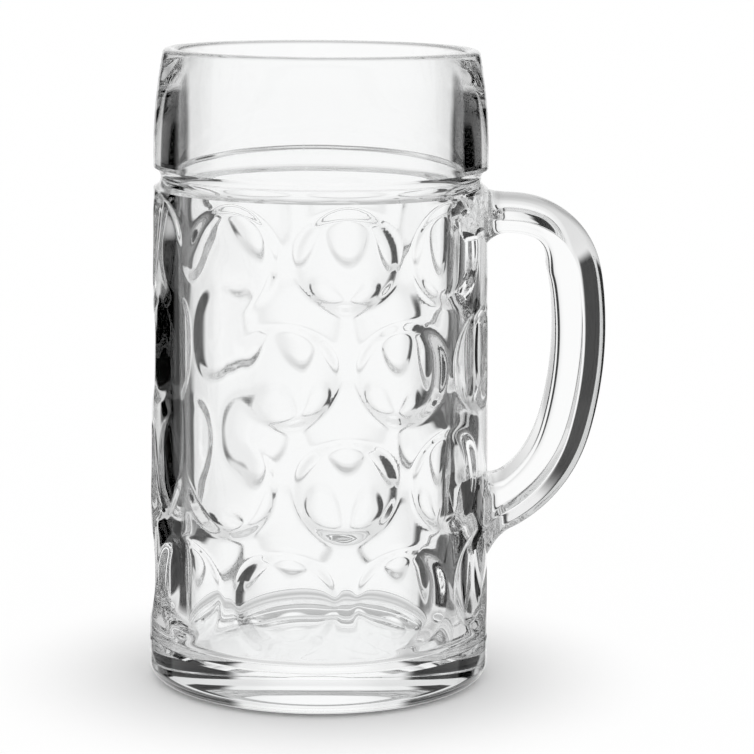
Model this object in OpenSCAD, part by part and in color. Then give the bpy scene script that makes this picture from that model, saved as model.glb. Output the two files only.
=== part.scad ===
// Dimpled clear tankard: a moulded barrel, a welded base and a bonded handle.
// The origin is the middle of the resting plane, +Z is up and the handle points along +X.

/* [Body] */
// Height from the table to the rim
body_h = 202; // [170:1:245]
// Diameter of the foot band
foot_d = 109.6; // [96:0.2:132]
// Narrowing of the barrel on each side, from the foot up to the groove
barrel_taper = 1.8; // [0.6:0.1:2.4]
// Wall of the barrel at the foot
foot_wall = 10.2; // [9:0.1:11.6]
// Height of the base, from the table to the weld seam and the inside floor
base_h = 13.5; // [11:0.5:17]

/* [Lip band] */
// Height of the plain band between the groove and the rim
lip_band_h = 40.5; // [34:0.5:49]
// Narrowing of the lip band on each side, from its widest place up to the rim
rim_inset = 3.3; // [2.4:0.1:3.9]
// Thickness of the drinking edge
rim_t = 4; // [3.4:0.1:4.6]
// Radius of the groove under the lip band
groove_r = 3.2; // [2.8:0.1:4]
// Depth of that groove
groove_depth = 2.3; // [1.4:0.1:2.6]

/* [Dimples] */
// Dimples around the barrel in each row
dimple_count = 9; // [8:1:10]
// Width of the rib between two dimples of a row
rib_w = 3.8; // [3:0.1:6]
// Depth of a dimple below a flat that has the same width
dimple_dish = 0.8; // [0.5:0.1:1]

/* [Label panel] */
// Width of the plain label panel
panel_w = 46; // [38:1:52]
// Height of that panel
panel_h = 72; // [56:1:80]
// Corner radius of that panel
panel_corner_r = 14; // [8:1:18]

/* [Base] */
// Rounding of the bottom edge
foot_round = 5; // [3:0.5:6]
// Depth of the hollow underside
underside_depth = 3; // [1.5:0.1:4]
// Width of the weld tongue
tongue_w = 3; // [2.4:0.1:3.8]
// Height of that tongue
tongue_h = 3; // [2:0.1:4]

/* [Handle] */
// Reach of the handle beyond the foot band
handle_reach = 36.2; // [33:0.1:44]
// Width of the handle
handle_w = 24; // [20:0.5:28]
// Thickness of the handle along its back
handle_t = 16.7; // [14:0.1:18]
// Thickness of the handle at the top of the loop
handle_top_t = 12; // [10:0.1:13]
// Rounding of the handle's outer edges
handle_outer_r = 8; // [5:0.1:9]
// Rounding of the handle's inner edges
handle_inner_r = 2; // [1:0.1:3]
// Diameter of the two tenons
tenon_d = 9; // [7:0.1:11]

/* [Fits] */
// Clearance around the tongue and the tenons, and behind the handle's roots
weld_gap = 0.05; // [0.02:0.01:0.1]

/* [Hidden] */
$fn = 96;
eps = 1;
foot_r = foot_d / 2;
bore_floor_r = foot_r - foot_wall;
groove_z = body_h - lip_band_h;
barrel_top_r = foot_r - barrel_taper;
rim_r = barrel_top_r - rim_inset;
bore_rim_r = rim_r - rim_t;
seam_bevel = 0.5;

// Lip band: one large arc from its widest place, just above the groove, up to the rim
lip_wide_z = groove_z + 2.4 * groove_r;
lip_rise = body_h - lip_wide_z;
lip_arc_r = (pow(lip_rise, 2) + pow(rim_inset, 2)) / (2 * rim_inset);
crown_r = 0.75 * rim_t;
crown_z = body_h - crown_r;
crown_cut_h = 0.4 * rim_t;

// Dimples: four rows, staggered by half a pitch, between the foot and the groove
dimple_rows = 4;
foot_margin = 4.6;
row_gap = 1.7;
cutter_over = 0.04;
groove_half_h = sqrt(pow(groove_r, 2) - pow(groove_r - groove_depth, 2));
row_low_z = base_h + foot_margin;
row_pitch = (groove_z - groove_half_h - row_low_z) / dimple_rows;
dimple_step = 360 / dimple_count;
barrel_slope = atan(barrel_taper / (groove_z - base_h));

// Label panel: takes the place of one dimple in the third row from the foot
panel_row = 2;
panel_z = row_z(panel_row);
panel_angle = -3.5 * dimple_step;

// Handle: a shoulder arc, a back arc and a lower arc, each tangent to the next
handle_top_z = groove_z - groove_half_h - 1.2;
handle_h = 0.773 * (groove_z - base_h);
shoulder_r = 0.254 * handle_h;
back_r = 1.095 * handle_h;
lower_r = 0.43 * handle_h;
shoulder_a = 9.2;
back_c = [foot_r + handle_reach - back_r, handle_top_z - shoulder_r - (back_r - shoulder_r) * sin(shoulder_a)];
shoulder_c = back_c + (back_r - shoulder_r) * [cos(shoulder_a), sin(shoulder_a)];
lower_z = handle_top_z - handle_h + lower_r;
lower_dz = lower_z - back_c[1];
lower_c = [back_c[0] + sqrt(pow(back_r - lower_r, 2) - pow(lower_dz, 2)), lower_z];
lower_a = atan2(lower_dz, lower_c[0] - back_c[0]);
root_depth = 3.5;
bend_step = 0.06;
lap_l = 0.6;
lap_a = 0.3;
end_a = -acos((barrel_top_r - root_depth - lower_c[0]) / lower_r);

// Finger relief: thins the top of the loop and runs tangent into the inside of the back
relief_r = 8.5;
relief_z = handle_top_z - handle_top_t - relief_r;
relief_x = back_c[0] + sqrt(pow(back_r - handle_t - relief_r, 2) - pow(relief_z - back_c[1], 2));
relief_c = [relief_x, relief_z];
relief_a = atan2(relief_z - back_c[1], relief_x - back_c[0]);

// Tenons: each on the middle line of its root, half as long as the wall at the upper root
upper_tenon_z = handle_top_z - handle_t / 2;
lower_mid_r = lower_r - handle_t / 2;
lower_tenon_z = lower_z - sqrt(pow(lower_mid_r, 2) - pow(foot_r - lower_c[0], 2));
tenon_l = 0.5 * (barrel_r(upper_tenon_z) - bore_r(upper_tenon_z));
tenon_root = 4;
socket_gap = 0.2;
pad_margin = 3;
pad_h = 1.9 * handle_t;
pad_r = 5;

// Outer radius of the barrel between the dimples at height z
function barrel_r(z) = foot_r - barrel_taper * (z - base_h) / (groove_z - base_h);
// Radius of the drinking bore at height z
function bore_r(z) = bore_floor_r + (bore_rim_r - bore_floor_r) * (z - base_h) / (body_h - base_h);
// Middle height of a dimple row, counted from the foot
function row_z(row) = row_low_z + (row + 0.5) * row_pitch;

module rounded_oblong(w, h, r) {
  square([w - 2 * r, h], center = true);
  square([w, h - 2 * r], center = true);
  for (x = [-1, 1])
    for (y = [-1, 1])
      translate([x * (w / 2 - r), y * (h / 2 - r)])
        circle(r);
}

// Barrel body without its lip band
module barrel_outline() {
  polygon([
    [bore_floor_r, base_h],
    [foot_r - seam_bevel, base_h],
    [foot_r, base_h + seam_bevel],
    [barrel_top_r, groove_z],
    [bore_r(groove_z), groove_z]
  ]);
}

module lip_outline() {
  intersection() {
    polygon([
      [bore_r(groove_z), groove_z],
      [barrel_top_r, groove_z],
      [barrel_top_r, body_h],
      [bore_rim_r, body_h]
    ]);
    translate([barrel_top_r - lip_arc_r, lip_wide_z])
      circle(lip_arc_r, $fn = 360);
  }
}

// What the rounded drinking edge leaves off the top of the lip
module rim_waste() {
  difference() {
    translate([bore_rim_r - eps, body_h - crown_cut_h])
      square([rim_t + 2 * eps, crown_cut_h + eps]);
    translate([rim_r - rim_t / 2, crown_z])
      circle(crown_r);
  }
}

module weld_ring(fit) {
  translate([(bore_floor_r + foot_r - tongue_w) / 2 - fit, base_h])
    square([tongue_w + 2 * fit, tongue_h + (fit > 0 ? socket_gap : 0)]);
}

module barrel_profile() {
  difference() {
    union() {
      barrel_outline();
      lip_outline();
    }
    translate([barrel_top_r - groove_depth + groove_r, groove_z])
      circle(groove_r);
    rim_waste();
    weld_ring(weld_gap);
  }
}

// One dished hollow: part of a ring whose outer face is pressed into the barrel
module dimple(z) {
  r = barrel_r(z);
  half_a = dimple_step / 2 - rib_w / r * 90 / PI;
  half_w = r * sin(half_a);
  depth = r * (1 - cos(half_a)) + dimple_dish;
  half_h = min(half_w, (row_pitch - row_gap) / 2);
  across_r = (pow(dimple_dish, 2) + pow(half_w, 2)) / (2 * dimple_dish);
  upright_r = (pow(half_h, 2) + pow(depth, 2)) / (2 * depth);
  spread = 2 * asin(half_w / across_r) * (1 + cutter_over);
  translate([r, 0, z])
    rotate([0, -barrel_slope, 0])
      translate([across_r - depth, 0, 0])
        rotate([0, 0, 180 - spread / 2])
          rotate_extrude(angle = spread)
            intersection() {
              translate([across_r - upright_r, 0])
                circle(upright_r, $fn = 360);
              translate([across_r - depth * (1 + cutter_over), -upright_r])
                square([2 * depth, 2 * upright_r]);
            }
}

// Dimples of the four rows; the even rows leave out the one behind the handle
module dimples() {
  for (row = [0 : dimple_rows - 1])
    for (i = [0 : dimple_count - 1])
      if (row % 2 == 0 || i > 0)
        rotate([0, 0, (i + (row % 2 == 0 ? 0.5 : 0)) * dimple_step])
          dimple(row_z(row));
}

// Places where the barrel keeps its full wall: the label panel and the lower root of the handle
module plain_zones() {
  rotate([0, 0, panel_angle])
    translate([bore_floor_r - foot_wall, 0, panel_z])
      rotate([90, 0, 90])
        linear_extrude(3 * foot_wall)
          rounded_oblong(panel_w, panel_h, panel_corner_r);
  translate([bore_floor_r - foot_wall, 0, lower_tenon_z])
    rotate([90, 0, 90])
      linear_extrude(3 * foot_wall)
        rounded_oblong(handle_w + 2 * pad_margin, pad_h, pad_r);
}

module tenon(z, fit, depth) {
  translate([barrel_r(z) - depth, 0, z])
    rotate([0, 90, 0])
      cylinder(d = tenon_d + 2 * fit, h = depth + tenon_root);
}

module barrel() {
  color([0.86, 0.9, 0.92, 0.4])
    difference() {
      rotate_extrude()
        barrel_profile();
      difference() {
        dimples();
        plain_zones();
      }
      tenon(upper_tenon_z, weld_gap, tenon_l + socket_gap);
      tenon(lower_tenon_z, weld_gap, tenon_l + socket_gap);
    }
}

module base_profile() {
  difference() {
    polygon([
      [0, 0],
      [foot_r, 0],
      [foot_r, base_h - seam_bevel],
      [foot_r - seam_bevel, base_h],
      [0, base_h]
    ]);
    difference() {
      translate([foot_r - foot_round, -eps])
        square([foot_round + eps, foot_round + eps]);
      translate([foot_r - foot_round, foot_round])
        circle(foot_round);
    }
    underside_hollow();
  }
  weld_ring(0);
}

// Shallow dished hollow that leaves a flat ring to stand on
module underside_hollow() {
  hollow_r = foot_r - 2.2 * foot_round;
  dish_r = (pow(hollow_r, 2) + pow(underside_depth, 2)) / (2 * underside_depth);
  translate([0, underside_depth - dish_r])
    circle(dish_r, $fn = 360);
}

module base_cap() {
  color([0.84, 0.88, 0.9, 0.4])
    rotate_extrude()
      base_profile();
}

// Section of the handle: x runs from its inner face at 0 to its outer face at handle_t, grown all round
module handle_section(grow) {
  half_w = handle_w / 2;
  side_l = handle_t - handle_outer_r - handle_inner_r;
  translate([handle_inner_r, -half_w - grow])
    square([side_l, handle_w + 2 * grow]);
  translate([-grow, handle_inner_r - half_w])
    square([handle_inner_r + grow, handle_w - 2 * handle_inner_r]);
  translate([handle_t - handle_outer_r, handle_outer_r - half_w])
    square([handle_outer_r + grow, handle_w - 2 * handle_outer_r]);
  for (side = [-1, 1]) {
    translate([handle_inner_r, side * (half_w - handle_inner_r)])
      circle(handle_inner_r + grow);
    translate([handle_t - handle_outer_r, side * (half_w - handle_outer_r)])
      circle(handle_outer_r + grow);
  }
}

// One bend of the handle about centre c, whose outer face has radius r
module bend(c, r, a_from, a_to, grow) {
  translate([c[0], 0, c[1]])
    rotate([90, 0, 0])
      rotate([0, 0, a_from])
        rotate_extrude(angle = a_to - a_from)
          translate([r - handle_t, 0])
            handle_section(grow);
}

// Two bends are a hair proud, and the lengths beside them run a little way into them
module handle_loop() {
  lead_l = shoulder_c[0] - barrel_top_r + 2 * root_depth;
  translate([shoulder_c[0] + lap_l, 0, handle_top_z - handle_t])
    rotate([0, -90, 0])
      linear_extrude(lead_l)
        handle_section(0);
  bend(shoulder_c, shoulder_r, shoulder_a, 90, bend_step);
  bend(back_c, back_r, lower_a - lap_a, shoulder_a + lap_a, 0);
  bend(lower_c, lower_r, end_a, lower_a, bend_step);
}

module finger_relief() {
  toward_a = [cos(relief_a), sin(relief_a)];
  toward_b = [cos(shoulder_a), sin(shoulder_a)];
  translate([0, handle_w / 2 + eps, 0])
    rotate([90, 0, 0])
      linear_extrude(handle_w + 2 * eps) {
        translate(relief_c)
          circle(relief_r);
        intersection() {
          translate(back_c)
            circle(back_r - handle_t + bend_step, $fn = 360);
          polygon([
            shoulder_c,
            shoulder_c + shoulder_r * toward_b,
            relief_c + 2 * relief_r * toward_a,
            relief_c
          ]);
        }
      }
}

module handle() {
  color([0.88, 0.92, 0.94, 0.4]) {
    difference() {
      handle_loop();
      finger_relief();
      translate([0, 0, base_h])
        cylinder(r1 = foot_r + weld_gap, r2 = barrel_top_r + weld_gap, h = groove_z - base_h);
    }
    tenon(upper_tenon_z, 0, tenon_l);
    tenon(lower_tenon_z, 0, tenon_l);
  }
}

barrel();
base_cap();
handle();
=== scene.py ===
import math

import bpy
import numpy as np
from mathutils import Matrix, Vector


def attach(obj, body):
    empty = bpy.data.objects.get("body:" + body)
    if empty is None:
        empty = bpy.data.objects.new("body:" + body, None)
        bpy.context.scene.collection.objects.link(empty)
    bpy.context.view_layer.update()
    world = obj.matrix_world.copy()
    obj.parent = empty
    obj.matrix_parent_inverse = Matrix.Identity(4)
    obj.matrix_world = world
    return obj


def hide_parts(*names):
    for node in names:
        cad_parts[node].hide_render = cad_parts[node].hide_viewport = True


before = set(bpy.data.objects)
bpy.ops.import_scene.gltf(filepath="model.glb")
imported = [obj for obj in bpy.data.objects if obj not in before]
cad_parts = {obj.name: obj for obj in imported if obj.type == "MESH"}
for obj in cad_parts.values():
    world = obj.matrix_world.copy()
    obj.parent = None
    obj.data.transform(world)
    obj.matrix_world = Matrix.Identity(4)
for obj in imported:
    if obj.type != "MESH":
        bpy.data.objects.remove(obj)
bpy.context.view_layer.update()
mm = 0.001  # lengths below are in millimetres, meshes in metres

scene = bpy.context.scene
scene.view_settings.view_transform = "Standard"


# Smooth blend from 0 to 1 with flat ends
def smoothStep(x):
    x = np.clip(x, 0, 1)
    return x * x * (3 - 2 * x)


# Smaller of two fields, rounded over about the width k where they cross
def softMin(a, b, k):
    return 0.5 * (a + b - np.sqrt((a - b) ** 2 + k * k))


# Distance outside a rounded oblong; inside it is below zero
def oblongDistance(x, y, width, height, corner):
    qx = np.abs(x) - width / 2 + corner
    qy = np.abs(y) - height / 2 + corner
    outside = np.hypot(np.maximum(qx, 0), np.maximum(qy, 0))
    return outside + np.minimum(np.maximum(qx, qy), 0) - corner


# Whether points lie inside a closed outline: an odd number of its edges lie to their right
def insideOutline(px, py, outline):
    ax, ay = outline[:, 0], outline[:, 1]
    bx, by = np.roll(ax, -1), np.roll(ay, -1)
    px, py = px[:, None], py[:, None]
    spans = (ay > py) != (by > py)
    crossX = ax + (py - ay) * (bx - ax) / np.where(by == ay, 1e-9, by - ay)
    return (spans & (px < crossX)).sum(axis=1) % 2 == 1


# Quads between the rows and columns of a grid; a closed direction joins its last line to its first
def gridQuads(rows, cols, closeRows, closeCols):
    i = np.arange(rows if closeRows else rows - 1)[:, None]
    j = np.arange(cols if closeCols else cols - 1)[None, :]
    i2, j2 = (i + 1) % rows, (j + 1) % cols
    corners = [i * cols + j, i * cols + j2, i2 * cols + j2, i2 * cols + j]
    return np.stack(np.broadcast_arrays(*corners), axis=-1).reshape(-1, 4)


# Puts points in millimetres and faces into a mesh object; rub is how much wear each point takes
def makePiece(name, points, faces, weldFaces, rub, sharpAngle):
    mesh = bpy.data.meshes.new(name)
    mesh.from_pydata((points * mm).tolist(), [], faces)
    mesh.attributes.new("rub", "FLOAT", "POINT").data.foreach_set("value", rub.astype(np.float32))
    mesh.polygons.foreach_set("material_index", weldFaces.astype(np.int32))
    mesh.shade_smooth()
    mesh.set_sharp_from_angle(angle=math.radians(sharpAngle))
    mesh.update()
    piece = bpy.data.objects.new(name, mesh)
    scene.collection.objects.link(piece)
    print(name, len(mesh.vertices), "points", len(mesh.polygons), "faces")
    return piece


# One shader value: its arithmetic adds Math nodes, and make adds any other node
class Wire:
    def __init__(self, tree, socket=None):
        self.tree = tree
        self.socket = socket

    def make(self, kind, settings=None, values=None, out=0):
        node = self.tree.nodes.new(kind)
        for key, value in (settings or {}).items():
            setattr(node, key, value)
        for key, value in (values or {}).items():
            if isinstance(value, Wire):
                self.tree.links.new(value.socket, node.inputs[key])
            else:
                node.inputs[key].default_value = value
        return Wire(self.tree, node.outputs[out] if len(node.outputs) else None)

    def maths(self, operation, first, second):
        return self.make("ShaderNodeMath", {"operation": operation}, {0: first, 1: second})

    def __add__(self, other):
        return self.maths("ADD", self, other)

    def __sub__(self, other):
        return self.maths("SUBTRACT", self, other)

    def __rsub__(self, other):
        return self.maths("SUBTRACT", other, self)

    def __mul__(self, other):
        return self.maths("MULTIPLY", self, other)

    def __truediv__(self, other):
        return self.maths("DIVIDE", self, other)

    def __gt__(self, other):
        return self.maths("GREATER_THAN", self, other)

    __radd__ = __add__
    __rmul__ = __mul__


def newMaterial(name):
    material = bpy.data.materials.new(name)
    material.use_nodes = True
    material.node_tree.nodes.clear()
    return material, Wire(material.node_tree)


# What the three clear finishes share: noise scales per metre, the scuffs' turn and the height of mould waves
plasticSpec = {"driftScale": 22.0, "grainScale": 1400.0, "streakScale": (900.0, 900.0, 60.0),
               "streakTurn": (0.2, 0.35, 0.0), "waveHeight": 0.0004}


# Clear moulded plastic: gentle mould waves, a very slight tint that drifts, and fine scuffs where hands and
# tables rub it
def clearPlastic(name, spec):
    material, wire = newMaterial(name)
    place = wire.make("ShaderNodeTexCoord", out="Object")
    rub = wire.make("ShaderNodeAttribute", {"attribute_name": "rub"}, out="Fac")

    def noise(where, scale, detail):
        return wire.make("ShaderNodeTexNoise", None,
                         {"Vector": where, "Scale": scale, "Detail": detail}, out="Fac")

    drift = noise(place, plasticSpec["driftScale"], 1.0)
    waves = noise(place, spec["waveScale"], 1.0)
    grain = noise(place, plasticSpec["grainScale"], 3.0)
    streakPlace = wire.make("ShaderNodeMapping", None, {
        "Vector": place, "Scale": plasticSpec["streakScale"], "Rotation": plasticSpec["streakTurn"]})
    streaks = noise(streakPlace, 1.0, 2.0)
    scuffed = (streaks > spec["scuffCut"]) * rub
    roughness = spec["polish"] + scuffed * spec["scuffRough"] + rub * grain * spec["rubRough"]
    tint = wire.make("ShaderNodeMix", {"data_type": "RGBA"},
                     {"Factor": drift, "A": spec["tintA"], "B": spec["tintB"]}, out="Result")
    bump = wire.make("ShaderNodeBump", None, {
        "Height": waves, "Strength": spec["waveStrength"], "Distance": plasticSpec["waveHeight"]})
    shader = wire.make("ShaderNodeBsdfPrincipled", None, {
        "Base Color": tint, "Roughness": roughness, "Normal": bump,
        "IOR": spec["ior"], "Transmission Weight": 1.0})
    wire.make("ShaderNodeOutputMaterial", None, {"Surface": shader})
    return material


# Welded faces: the plastic runs on through them, so light does too
def weldPlastic():
    material, wire = newMaterial("weldedFace")
    shader = wire.make("ShaderNodeBsdfTransparent")
    wire.make("ShaderNodeOutputMaterial", None, {"Surface": shader})
    return material


weldedFace = weldPlastic()

barrelSpec = {
    "footRadius": 54.8, "taper": 1.8,  # outside at the foot and how much it narrows up to the groove
    "seamHeight": 13.5, "seamBevel": 0.9, "floorRound": 3.5, "rimHeight": 202.0,
    "boreFloorRadius": 44.6, "boreRimRadius": 45.7,
    "lipWidest": 169.2, "rimInset": 3.3, "crownHeight": 1.5,
    "grooveHeight": 161.5, "grooveRadius": 3.2, "grooveDepth": 2.3, "grooveSoft": 0.35,
    "dimplesRound": 9, "dimpleRows": 4, "rowStart": 18.1, "rowPitch": 35.08,
    "dimpleRib": 3.8, "dimpleStep": 0.25, "rowGap": 1.7,  # rib width, depth at a dimple's sides, gap of rows
    "wallSlope": 0.68, "wallSoft": 0.6, "edgeSoft": 0.45, "undimpled": -9.0,
    "plainAreas": [  # the label panel, centred on the third row, and the pad under the handle's lower root
        {"angle": -140.0, "middle": 105.8, "width": 46.0, "height": 72.0, "corner": 14.0},
        {"angle": 0.0, "middle": 54.0, "width": 30.0, "height": 31.7, "corner": 5.0}],
    "borderSlope": 0.16, "borderSoft": 0.8,
    "grooveFrom": 157.5, "grooveTo": 166.5, "handleSide": 24.0,  # the mesh is finer at groove and handle
    "rubDepth": 0.9, "lipRub": 0.5, "sharpAngle": 40,
    "rootFromX": 48.0, "rootHalfWidth": 20.0, "outsideFrom": 50.0,  # where faces under the roots can lie
    "finish": {"ior": 1.49, "polish": 0.0, "scuffCut": 0.66, "scuffRough": 0.05, "rubRough": 0.02,
               "waveScale": 45.0, "waveStrength": 0.12,
               "tintA": (0.998, 1.0, 1.0, 1.0), "tintB": (0.988, 0.993, 0.993, 1.0)},
}


# Outside of the barrel between its dimples: a slow cone, then one large arc up to the rim, with the round
# groove taken out where they meet
def plainRadius(z):
    b = barrelSpec
    topRadius = b["footRadius"] - b["taper"]
    cone = b["footRadius"] - b["taper"] * (z - b["seamHeight"]) / (b["grooveHeight"] - b["seamHeight"])
    rise = b["rimHeight"] - b["lipWidest"]
    arcRadius = (rise ** 2 + b["rimInset"] ** 2) / (2 * b["rimInset"])
    lip = topRadius - arcRadius + np.sqrt(arcRadius ** 2 - np.clip(z - b["lipWidest"], 0, rise) ** 2)
    side = np.where(z < b["grooveHeight"], cone, lip)
    dz = np.clip(np.abs(z - b["grooveHeight"]), 0, 4 * b["grooveRadius"])
    inGroove = np.sqrt(np.maximum(b["grooveRadius"] ** 2 - dz ** 2, 0))
    inGroove = inGroove - np.maximum(dz - b["grooveRadius"], 0)
    groove = topRadius - b["grooveDepth"] + b["grooveRadius"] - inGroove
    return softMin(side, groove, b["grooveSoft"])


# How deep the dimples go: each is a flat facet across the round barrel, with sloping walls round it; the
# panel and the handle's pad keep the full wall, with sloping borders
def dimpleDepth(angle, z):
    b = barrelSpec
    step = 360 / b["dimplesRound"]
    field = np.full(np.broadcast(angle, z).shape, b["undimpled"])
    for row in range(b["dimpleRows"]):
        rowZ = b["rowStart"] + (row + 0.5) * b["rowPitch"]
        r = b["footRadius"] - b["taper"] * (rowZ - b["seamHeight"]) / (b["grooveHeight"] - b["seamHeight"])
        halfAngle = math.radians(step / 2) - b["dimpleRib"] / r / 2
        halfWidth = r * math.sin(halfAngle)
        depth = r * (1 - math.cos(halfAngle)) + b["dimpleStep"]
        halfHeight = min(halfWidth, (b["rowPitch"] - b["rowGap"]) / 2)
        shift = step / 2 if row % 2 == 0 else 0.0
        index = np.round((angle - shift) / step)
        off = np.radians(angle - shift - index * step)
        away = np.hypot(r * off, z - rowZ) / halfHeight
        bottom = r - (r - depth) / np.cos(off)
        pressed = softMin(bottom, b["wallSlope"] * halfHeight * (1 - away), b["wallSoft"])
        if row % 2 == 1:  # no dimple behind the handle
            pressed = np.where(index % b["dimplesRound"] == 0, b["undimpled"], pressed)
        field = np.maximum(field, pressed)
    for area in b["plainAreas"]:
        turn = (angle - area["angle"] + 180) % 360 - 180
        chord = b["footRadius"] * np.sin(np.radians(np.clip(turn, -90, 90)))
        outside = oblongDistance(chord, z - area["middle"], area["width"], area["height"], area["corner"])
        field = softMin(field, outside * b["borderSlope"], b["borderSoft"])
    return 0.5 * (field + np.sqrt(field ** 2 + b["edgeSoft"] ** 2))


# Outside of the barrel at an angle in degrees from the handle and a height
def barrelRadius(angle, z):
    return plainRadius(z) - dimpleDepth(angle, z)


def boreRadius(z):
    b = barrelSpec
    share = (z - b["seamHeight"]) / (b["rimHeight"] - b["seamHeight"])
    return b["boreFloorRadius"] + (b["boreRimRadius"] - b["boreFloorRadius"]) * share


# Barrel: one closed outline (outside, lip, bore, bottom) carried once round the axis, its outside pressed in
# by the dimple field
def barrelGrid():
    b = barrelSpec
    crownZ = b["rimHeight"] - b["crownHeight"]
    outsideZ = np.concatenate([
        np.linspace(b["seamHeight"] + b["seamBevel"], b["grooveFrom"], 132),
        np.linspace(b["grooveFrom"] + 0.4, b["grooveTo"], 26),
        np.linspace(b["grooveTo"] + 1.5, crownZ, 17)])
    fine = b["handleSide"]
    angle = np.concatenate([np.linspace(-fine, fine, 96, endpoint=False),
                            np.linspace(fine, 360 - fine, 330, endpoint=False)])
    rOut = barrelRadius(angle[None, :], outsideZ[:, None])
    outerEdge, innerEdge = plainRadius(crownZ), boreRadius(crownZ)
    turn = np.radians(np.linspace(0, 180, 14)[1:-1])
    crownR = (outerEdge + innerEdge) / 2 + (outerEdge - innerEdge) / 2 * np.cos(turn)
    crownTop = crownZ + b["crownHeight"] * np.sin(turn)
    boreZ = np.linspace(crownZ, b["seamHeight"] + b["floorRound"], 14)
    drop = np.radians(np.linspace(0, 90, 10)[1:])  # the bore rounds in to the floor
    boreR = np.concatenate([boreRadius(boreZ), boreRadius(boreZ[-1]) - b["floorRound"] * (1 - np.cos(drop))])
    boreZ = np.concatenate([boreZ, boreZ[-1] - b["floorRound"] * np.sin(drop)])
    bottomR = np.array([b["footRadius"] - b["seamBevel"]])
    plainR = np.concatenate([crownR, boreR, bottomR])
    plainZ = np.concatenate([crownTop, boreZ, [b["seamHeight"]]])
    r = np.vstack([rOut, np.repeat(plainR[:, None], len(angle), axis=1)])
    z = np.concatenate([outsideZ, plainZ])
    turn = np.radians(angle)
    height = np.repeat(z[:, None], len(angle), axis=1)
    points = np.stack([r * np.cos(turn), r * np.sin(turn), height], axis=-1)
    pressed = plainRadius(outsideZ)[:, None] - rOut
    rub = np.zeros(r.shape)
    rub[:len(outsideZ)] = 1 - smoothStep(pressed / b["rubDepth"])
    rub[len(outsideZ):len(outsideZ) + len(crownR)] = b["lipRub"]
    return points, rub


# Handle: a section with bevelled outer edges carried round the loop; its ends flare and close on the barrel
handleSpec = {
    "topHeight": 157.23, "leadStart": 44.0, "shoulderStart": 60.7,
    "shoulderRadius": 29.06, "backRadius": 125.27, "lowerRadius": 49.19,
    "shoulderAngle": 9.2, "lowerAngle": -15.84, "endAngle": -100.0, "bendSoft": 3.5,
    "width": 24.0, "thickness": 16.7, "topThickness": 12.0, "crown": 7.6, "bevelAngle": 50.0,
    "edgeRound": 1.2, "innerRound": 2.6,
    "thinUntil": 66.0, "fullFrom": 18.0,  # outward angles between which the loop thickens
    "upperSearch": 24.0, "lowerSearch": 60.0,  # lengths in which each end leaves the barrel
    "rootLength": 12.0, "rootCrowd": 1.7, "flareFade": 2.2, "rootGuess": 53.5,
    "sideRub": 0.45, "backRub": 0.8, "backFrom": 0.6, "sharpAngle": 40,
    "upperFlare": {"inner": 3.4, "side": 2.4, "outer": 0.7, "reach": 7.0},
    "lowerFlare": {"inner": 2.2, "side": 2.6, "outer": 5.5, "reach": 10.0},
    "finish": {"ior": 1.49, "polish": 0.0, "scuffCut": 0.64, "scuffRough": 0.06, "rubRough": 0.025,
               "waveScale": 38.0, "waveStrength": 0.12,
               "tintA": (0.998, 1.0, 1.0, 1.0), "tintB": (0.988, 0.993, 0.993, 1.0)},
}


# Middle plane of the loop: bends of three radii after a straight lead, with the change between them eased, as
# outer-face points and outward angles along the length
def handlePath():
    h = handleSpec
    step = 0.1
    lengths = [
        h["shoulderStart"] - h["leadStart"],
        h["shoulderRadius"] * math.radians(90 - h["shoulderAngle"]),
        h["backRadius"] * math.radians(h["shoulderAngle"] - h["lowerAngle"]),
        h["lowerRadius"] * math.radians(h["lowerAngle"] - h["endAngle"])]
    bends = [0, 1 / h["shoulderRadius"], 1 / h["backRadius"], 1 / h["lowerRadius"]]
    ends = np.cumsum(lengths)
    s = np.arange(0, ends[-1], step)
    bend = np.array(bends)[np.searchsorted(ends, s, side="right").clip(0, 3)]
    reach = 3 * h["bendSoft"]
    window = np.exp(-0.5 * (np.arange(-reach, reach + step / 2, step) / h["bendSoft"]) ** 2)
    half = len(window) // 2
    padded = np.concatenate([np.full(half, bend[0]), bend, np.full(half, bend[-1])])
    bend = np.convolve(padded, window / window.sum(), mode="valid")
    angle = math.radians(90) - np.cumsum(bend) * step
    x = h["leadStart"] + np.cumsum(np.sin(angle)) * step
    z = h["topHeight"] - np.cumsum(np.cos(angle)) * step
    return s, x, z, angle


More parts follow.
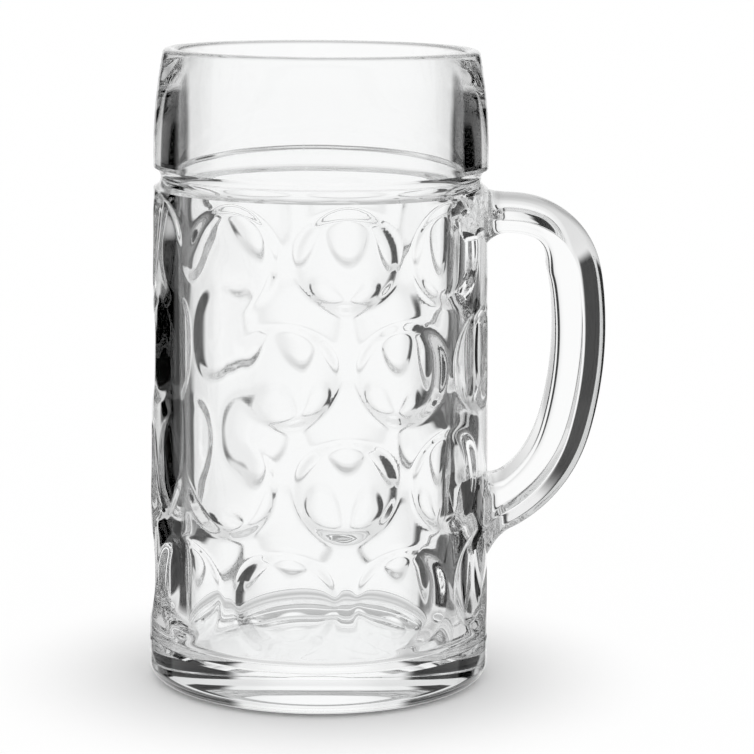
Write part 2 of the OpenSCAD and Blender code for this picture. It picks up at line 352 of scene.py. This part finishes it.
# Section of the handle: a flat inner face with small corners, flat sides, bevels that meet them at soft edges
# and a round back between the bevels; across is sideways, base + lean * thickness the place between the faces
def handleSection():
    h = handleSpec
    half, small, soft, crown = h["width"] / 2, h["innerRound"], h["edgeRound"], h["crown"]
    tilt = math.radians(h["bevelAngle"])
    backRound = (half - crown * math.tan(tilt)) / (math.cos(tilt) - (1 - math.sin(tilt)) * math.tan(tilt))
    edgeStart = -crown - soft * math.tan(tilt / 2)  # end of the flat side, from the outermost line
    corner = np.radians(np.linspace(0, 90, 7))
    edge = np.linspace(0, tilt, 7)
    arc = np.linspace(math.pi / 2 - tilt, 0, 11)
    share = np.linspace(0, 1, 9)[1:-1]
    edgeAcross, edgeOut = half - soft + soft * np.cos(edge), edgeStart + soft * np.sin(edge)
    arcAcross, arcOut = backRound * np.sin(arc), backRound * (np.cos(arc) - 1)
    bevelAcross = edgeAcross[-1] + (arcAcross[0] - edgeAcross[-1]) * share
    bevelOut = edgeOut[-1] + (arcOut[0] - edgeOut[-1]) * share
    across = [np.linspace(0, half - small, 7)[:-1], half - small + small * np.sin(corner),
              np.full(7, half), edgeAcross, bevelAcross, arcAcross]
    base = [np.zeros(6), small - small * np.cos(corner), small + (edgeStart - small) * share,
            edgeOut, bevelOut, arcOut]
    lean = [np.zeros(6), np.zeros(7), share, np.ones(7), np.ones(7), np.ones(11)]
    normalAcross = [np.zeros(6), np.sin(corner), np.ones(7),
                    np.cos(edge), np.full(7, math.cos(tilt)), np.sin(arc)]
    normalOut = [-np.ones(6), -np.cos(corner), np.zeros(7),
                 np.sin(edge), np.full(7, math.sin(tilt)), np.cos(arc)]
    oneSide = [np.concatenate(part) for part in (across, base, lean, normalAcross, normalOut)]
    return [np.concatenate([part, sign * part[-2:0:-1]]) for part, sign in zip(oneSide, (-1, 1, 1, -1, 1))]


def handleGrid():
    h = handleSpec
    s, pathX, pathZ, pathAngle = handlePath()
    across, base, lean, normalAcross, normalOut = handleSection()

    # points of the section at lengths sAt, grown by flare along the section's own normals
    def carry(sAt, flare):
        angle = np.interp(sAt, s, pathAngle)
        thin = smoothStep((h["thinUntil"] - np.degrees(angle)) / (h["thinUntil"] - h["fullFrom"]))
        thickness = h["topThickness"] + (h["thickness"] - h["topThickness"]) * thin
        depth = base + lean * thickness - thickness + flare * normalOut
        x = np.interp(sAt, s, pathX) + depth * np.cos(angle)
        z = np.interp(sAt, s, pathZ) + depth * np.sin(angle)
        y = across + flare * normalAcross + 0 * sAt
        return np.stack([x, y, z], axis=-1)

    def clearance(points):
        x, y, z = points[..., 0], points[..., 1], points[..., 2]
        return np.hypot(x, y) - barrelRadius(np.degrees(np.arctan2(y, x)), z)

    def flareSize(spec):
        inner, outer = np.maximum(-normalOut, 0) ** 2, np.maximum(normalOut, 0) ** 2
        return spec["inner"] * inner + spec["outer"] * outer + spec["side"] * normalAcross ** 2

    # length at which each flared track leaves the barrel, between two lengths, found on a fine row of tries
    def leaves(flare, fromS, toS):
        tries = np.linspace(fromS, toS, 320)[:, None] + 0 * across[None, :]
        gap = clearance(carry(tries, flare))
        first = np.argmax(gap > 0, axis=0)
        cols = np.arange(len(across))
        g0, g1 = gap[first - 1, cols], gap[first, cols]
        t0, t1 = tries[first - 1, cols], tries[first, cols]
        return t0 + (t1 - t0) * g0 / (g0 - g1)

    upper, lower = h["upperFlare"], h["lowerFlare"]
    upperSize, lowerSize = flareSize(upper), flareSize(lower)
    startS = leaves(upperSize, 1.0, h["upperSearch"])
    endS = leaves(lowerSize, s[-1] - 1, s[-1] - h["lowerSearch"])
    root = h["rootLength"]
    near = root * np.linspace(0, 1, 26) ** h["rootCrowd"]
    middle = np.linspace(0, 1, 150)[1:-1, None]
    sAt = np.vstack([startS + near[:, None],
                     startS + root + (endS - startS - 2 * root) * middle,
                     endS - near[::-1, None]])
    fromStart = np.clip(1 - (sAt - startS) / upper["reach"], 0, 1)
    fromEnd = np.clip(1 - (endS - sAt) / lower["reach"], 0, 1)
    flare = upperSize * fromStart ** h["flareFade"] + lowerSize * fromEnd ** h["flareFade"]
    rings = carry(sAt, flare)

    # end faces: the end ring drawn in towards its middle and laid on the barrel
    def endRings(ring):
        middleZ = (ring[:, 2].min() + ring[:, 2].max()) / 2
        laid = []
        for share in np.linspace(0.8, 0.0, 5)[:-1]:
            y = ring[:, 1] * share
            z = middleZ + (ring[:, 2] - middleZ) * share
            angle = np.arcsin(y / h["rootGuess"])  # a first guess, then brought on to the barrel
            for again in range(4):
                r = barrelRadius(np.degrees(angle), z)
                angle = np.arcsin(y / r)
            laid.append(np.stack([r * np.cos(angle), y, z], axis=-1))
        r = barrelRadius(np.zeros(1), np.array([middleZ]))
        return np.array(laid), np.array([[r[0], 0, middleZ]])

    startRings, startPole = endRings(rings[0])
    endCaps, endPole = endRings(rings[-1])
    grid = np.concatenate([startRings[::-1], rings, endCaps])
    return grid, startPole, endPole, len(startRings)


# Base: an outline from the middle of the inside floor, over the weld, down the foot band, under the foot ring
# and up the hollow underside, turned once round the axis
baseSpec = {
    "footRadius": barrelSpec["footRadius"], "height": barrelSpec["seamHeight"],
    "seamBevel": barrelSpec["seamBevel"],
    "weldInside": boreRadius(barrelSpec["seamHeight"] + barrelSpec["floorRound"]) - barrelSpec["floorRound"],
    "footRound": 5.0, "hollowRadius": 43.8, "hollowDepth": 3.0,
    "floorRadii": [4, 12, 20, 28, 34, 39], "ringRadii": [47.5, 45.2],
    "underRadii": [43, 41.5, 39, 35, 30, 24, 18, 12, 6],
    "bevelRub": 0.3, "bandRub": 0.25, "sharpAngle": 30,
    "finish": {"ior": 1.49, "polish": 0.0, "scuffCut": 0.6, "scuffRough": 0.12, "rubRough": 0.06,
               "waveScale": 40.0, "waveStrength": 0.1,
               "tintA": (0.98, 0.987, 0.987, 1.0), "tintB": (0.97, 0.978, 0.978, 1.0)},
}


# Radius, height and rub along the outline, and the welded row of faces, from the bore's edge to the bevel
def baseOutline():
    b = baseSpec
    floorR = np.array(b["floorRadii"] + [b["weldInside"]])
    bevelR = np.array([b["footRadius"] - b["seamBevel"], b["footRadius"]])
    bevelZ = np.array([b["height"], b["height"] - b["seamBevel"]])
    bandZ = np.linspace(b["height"] - b["seamBevel"], b["footRound"], 7)[1:]
    turn = np.radians(np.linspace(0, 90, 15)[1:])
    roundR = b["footRadius"] - b["footRound"] + b["footRound"] * np.cos(turn)
    roundZ = b["footRound"] - b["footRound"] * np.sin(turn)
    ringR = np.array(b["ringRadii"] + [b["hollowRadius"]])
    dishRadius = (b["hollowRadius"] ** 2 + b["hollowDepth"] ** 2) / (2 * b["hollowDepth"])
    underR = np.array(b["underRadii"], dtype=float)
    underZ = b["hollowDepth"] - dishRadius + np.sqrt(dishRadius ** 2 - underR ** 2)
    r = np.concatenate([floorR, bevelR, np.full(len(bandZ), b["footRadius"]), roundR, ringR, underR])
    floorZ, ringZ = np.full(len(floorR), b["height"]), np.zeros(len(ringR))
    z = np.concatenate([floorZ, bevelZ, bandZ, roundZ, ringZ, underZ])
    roundRub = b["bevelRub"] + (1 - b["bevelRub"]) * np.sin(turn) ** 4
    rub = np.concatenate([np.zeros(len(floorR)), np.full(len(bevelR), b["bevelRub"]),
                          np.full(len(bandZ), b["bandRub"]), roundRub,
                          np.ones(len(ringR)), np.zeros(len(underR))])
    return r, z, rub, len(floorR) - 1


# Triangles from a pole to a ring of points that starts at a given index, turned over for the other facing
def poleFan(pole, first, cols, turned):
    j = np.arange(cols)
    ends = [first + j, first + (j + 1) % cols]
    return np.stack([np.full(cols, pole)] + (ends[::-1] if turned else ends), axis=-1)


def makeBarrel():
    b = barrelSpec
    points, rub = barrelGrid()
    rows, cols = rub.shape
    faces = gridQuads(rows, cols, True, True)
    flat = points.reshape(-1, 3)
    middle = flat[faces].mean(axis=1)
    weld = np.abs(flat[faces][:, :, 2] - b["seamHeight"]).max(axis=1) < 1e-6
    near = (middle[:, 0] > b["rootFromX"]) & (np.abs(middle[:, 1]) < b["rootHalfWidth"])
    near &= np.hypot(middle[:, 0], middle[:, 1]) > b["outsideFrom"]
    where = np.flatnonzero(near)
    corners = flat[faces[where]].reshape(-1, 3)
    for outline in rootOutlines:
        inside = insideOutline(corners[:, 1], corners[:, 2], outline).reshape(-1, 4).all(axis=1)
        weld[where[inside]] = True
    return makePiece("barrelShell", flat, faces.tolist(), weld, rub.reshape(-1), b["sharpAngle"])


# The handle, and the outlines of its two roots on the barrel
def makeHandle():
    h = handleSpec
    grid, startPole, endPole, capRows = handleGrid()
    rows, cols = grid.shape[:2]
    flat = np.vstack([grid.reshape(-1, 3), startPole, endPole])
    quads = gridQuads(rows, cols, False, True)
    weld = np.zeros((rows - 1, cols), dtype=bool)
    weld[:capRows] = True
    weld[-capRows:] = True
    startFan = poleFan(rows * cols, 0, cols, True)
    endFan = poleFan(rows * cols + 1, (rows - 1) * cols, cols, False)
    faces = quads.tolist() + startFan.tolist() + endFan.tolist()
    weld = np.concatenate([weld.reshape(-1), np.ones(2 * cols, dtype=bool)])
    rub = np.full((rows, cols), h["sideRub"])
    rub[:, handleSection()[4] > h["backFrom"]] = h["backRub"]
    rub = np.concatenate([rub.reshape(-1), [0, 0]])
    outlines = [grid[capRows][:, 1:3], grid[-capRows - 1][:, 1:3]]
    return makePiece("loopHandle", flat, faces, weld, rub, h["sharpAngle"]), outlines


def makeBase():
    b = baseSpec
    r, z, rub, weldAt = baseOutline()
    angle = np.radians(np.linspace(0, 360, 240, endpoint=False))
    points = np.stack([r[:, None] * np.cos(angle), r[:, None] * np.sin(angle),
                       np.repeat(z[:, None], len(angle), axis=1)], axis=-1)
    rows, cols = points.shape[:2]
    flat = np.vstack([points.reshape(-1, 3), [[0, 0, b["height"]]], [[0, 0, b["hollowDepth"]]]])
    quads = gridQuads(rows, cols, False, True)[:, ::-1]
    topFan = poleFan(rows * cols, 0, cols, False)
    underFan = poleFan(rows * cols + 1, (rows - 1) * cols, cols, True)
    weldRow = np.zeros((rows - 1, cols), dtype=bool)
    weldRow[weldAt] = True
    weld = np.concatenate([weldRow.reshape(-1), np.zeros(2 * cols, dtype=bool)])
    faces = quads.tolist() + topFan.tolist() + underFan.tolist()
    rub = np.concatenate([np.repeat(rub, cols), [0, 0]])
    return makePiece("footBase", flat, faces, weld, rub, b["sharpAngle"])


loopHandle, rootOutlines = makeHandle()
barrelShell = makeBarrel()
footBase = makeBase()

for piece, node, slotName, spec in (
        (barrelShell, "barrel", "clear_barrel", barrelSpec),
        (footBase, "base_cap", "clear_base", baseSpec),
        (loopHandle, "handle", "clear_handle", handleSpec)):
    materialName = "clear" + piece.name[0].upper() + piece.name[1:]
    piece.data.materials.append(clearPlastic(materialName, spec["finish"]))
    piece.data.materials.append(weldedFace)
    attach(piece, "root")
    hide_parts(node)
print("pieces dressed")

# Studio: a wide white floor for the camera and a white disc under the tankard for what is seen through it;
# the surround is pale with two dark flags beside the backdrop, which give the clear edges their dark lines
studioSpec = {
    "floorSize": 30.0, "floorDrop": 0.0004, "floorColour": (0.97, 0.97, 0.97, 1.0), "floorRough": 0.9,
    "discRadius": 0.04, "discHole": 0.0005, "discDrop": 0.0003, "discLight": 0.92,
    "whiteFrom": 0.052, "whiteFull": 0.115, "whiteShare": 0.96,
    # the surround: its level, and the hot spot of the backdrop that reaches 1
    "level": 0.88, "hotBearing": 91.0, "hotClear": 2.0, "hotSpread": 15.0,
    # elevation in degrees and share of that light, dimmest where the floor meets the backdrop
    "heights": [(-58, 0.85), (-42, 0.55), (-26, 0.86), (-14, 1.0), (45, 1.0), (70, 0.3)],
    # two flags and a dimmer band: bearing, half width, lowest and highest elevation, share of light left
    "flags": [(132.5, 21, -19, 45, 0.0), (46.5, 25.5, -19, 45, 0.0), (267, 113, -19, 45, 0.75)],
    "sideSoft": 2.5, "heightSoft": 2.0,
}


# Pale floor: its own colour and shadow near the tankard, easing to plain white for the camera further out
def floorMaterial():
    s = studioSpec
    material, wire = newMaterial("paleFloor")
    place = wire.make("ShaderNodeTexCoord", out="Object")
    away = wire.make("ShaderNodeVectorMath", {"operation": "LENGTH"}, {0: place}, out="Value")
    far = wire.make("ShaderNodeMapRange", {"interpolation_type": "SMOOTHSTEP"}, {
        "Value": away, "From Min": s["whiteFrom"], "From Max": s["whiteFull"], "To Max": s["whiteShare"]})
    seen = wire.make("ShaderNodeLightPath", out="Is Camera Ray")
    pale = wire.make("ShaderNodeBsdfPrincipled", None, {
        "Base Color": s["floorColour"], "Roughness": s["floorRough"], "Specular IOR Level": 0.0})
    white = wire.make("ShaderNodeEmission", None, {"Color": (1, 1, 1, 1), "Strength": 1.0})
    shader = wire.make("ShaderNodeMixShader", None, {"Fac": far * seen, 1: pale, 2: white})
    wire.make("ShaderNodeOutputMaterial", None, {"Surface": shader})
    return material


# Flat sheet of the studio from a grid of x and y, a little below the foot
def stageGrid(name, x, y, drop, closeCols, material):
    points = np.stack([x, y, np.full(x.shape, -drop)], axis=-1)
    mesh = bpy.data.meshes.new(name)
    mesh.from_pydata(points.reshape(-1, 3).tolist(), [], gridQuads(*x.shape, False, closeCols).tolist())
    mesh.materials.append(material)
    sheet = bpy.data.objects.new(name, mesh)
    scene.collection.objects.link(sheet)
    return sheet


half = studioSpec["floorSize"] / 2
floorX, floorY = np.meshgrid([-half, half], [-half, half])
floor = stageGrid("floor", floorX, floorY, studioSpec["floorDrop"], False, floorMaterial())
floor.visible_glossy = floor.visible_transmission = False
discAngle = np.radians(np.linspace(0, 360, 96, endpoint=False))[None, :]
discRadius = np.array([[studioSpec["discHole"]], [studioSpec["discRadius"]]])
discX, discY = discRadius * np.cos(discAngle), discRadius * np.sin(discAngle)
discGlow, discWire = newMaterial("discGlow")
glow = discWire.make("ShaderNodeEmission", None, {"Color": (1, 1, 1, 1), "Strength": studioSpec["discLight"]})
discWire.make("ShaderNodeOutputMaterial", None, {"Surface": glow})
disc = stageGrid("floorDisc", discX, discY, studioSpec["discDrop"], True, discGlow)
disc.visible_camera = disc.visible_diffuse = disc.visible_shadow = False

world = bpy.data.worlds.new("whiteSurround")
scene.world = world
world.use_nodes = True
world.node_tree.nodes.clear()


# Light of the surround seen through or in the clear pieces: pale all round with a hot spot on the backdrop,
# dimmer low down and overhead, less the flags
def surroundLight(wire):
    s = studioSpec
    toward = wire.make("ShaderNodeTexCoord", out="Generated")
    split = wire.make("ShaderNodeSeparateXYZ", None, {"Vector": toward})
    x, y, z = (Wire(wire.tree, split.socket.node.outputs[k]) for k in range(3))
    flat = wire.maths("SQRT", x * x + y * y, 0.0) + 1e-5

    def ease(value, low, high):
        return wire.make("ShaderNodeMapRange", {"interpolation_type": "SMOOTHSTEP"},
                         {"Value": value, "From Min": low, "From Max": high})

    # 1 within an angle of a bearing, easing to 0 at a wider one
    def near(bearing, clear, spread):
        turn = math.radians(bearing)
        along = (x * math.cos(turn) + y * math.sin(turn)) / flat
        return ease(along, math.cos(math.radians(spread)), math.cos(math.radians(clear)))

    # 0 below an elevation and 1 above it, with a soft edge
    def risen(elevation, soft):
        return ease(z, *[math.sin(math.radians(elevation + side * soft)) for side in (-1, 1)])

    light = s["level"] + near(s["hotBearing"], s["hotClear"], s["hotSpread"]) * (1 - s["level"])
    height = s["heights"][0][1]
    for (low, before), (high, after) in zip(s["heights"], s["heights"][1:]):
        height = height + risen((low + high) / 2, (high - low) / 2) * (after - before)
    light = light * height
    for bearing, halfWidth, lowest, highest, left in s["flags"]:
        shade = near(bearing, halfWidth - s["sideSoft"], halfWidth + s["sideSoft"])
        shade = shade * risen(lowest, s["heightSoft"]) * (1 - risen(highest, s["heightSoft"]))
        light = light * (1 - shade * (1 - left))
    return light


worldWire = Wire(world.node_tree)
path = worldWire.make("ShaderNodeLightPath")
clearRay = worldWire.maths("MAXIMUM", Wire(world.node_tree, path.socket.node.outputs["Is Glossy Ray"]),
                           Wire(world.node_tree, path.socket.node.outputs["Is Transmission Ray"]))
strength = worldWire.maths("MAXIMUM", surroundLight(worldWire), 1 - clearRay)
surround = worldWire.make("ShaderNodeBackground", None, {"Color": (1, 1, 1, 1), "Strength": strength})
worldWire.make("ShaderNodeOutputWorld", None, {"Surface": surround})
print("studio ready")

# Clear pieces need many bounces before the light gets out
scene.cycles.max_bounces = 32
scene.cycles.transmission_bounces = 32
scene.cycles.glossy_bounces = 16
scene.cycles.transparent_max_bounces = 32

cameraSpec = {"distance": 0.9, "height": 0.2522, "bearing": 1.0, "aimRight": 0.0183, "aimHeight": 0.0971,
              "roll": 0.51, "lens": 135.9, "sensor": 36.0}
bearing = math.radians(cameraSpec["bearing"])
eye = Vector((math.sin(bearing) * cameraSpec["distance"], -math.cos(bearing) * cameraSpec["distance"],
              cameraSpec["height"]))
rightward = Vector((math.cos(bearing), math.sin(bearing), 0))
aim = rightward * cameraSpec["aimRight"] + Vector((0, 0, cameraSpec["aimHeight"]))
cameraData = bpy.data.cameras.new("photoCamera")
cameraData.lens = cameraSpec["lens"]
cameraData.sensor_width = cameraSpec["sensor"]
cameraData.clip_start, cameraData.clip_end = 0.01, 100.0
camera = bpy.data.objects.new("photoCamera", cameraData)
scene.collection.objects.link(camera)
camera.matrix_world = (Matrix.Translation(eye) @ (aim - eye).to_track_quat("-Z", "Y").to_matrix().to_4x4()
                       @ Matrix.Rotation(math.radians(cameraSpec["roll"]), 4, "Z"))
scene.camera = camera
print("camera set")

bpy.context.view_layer.update()
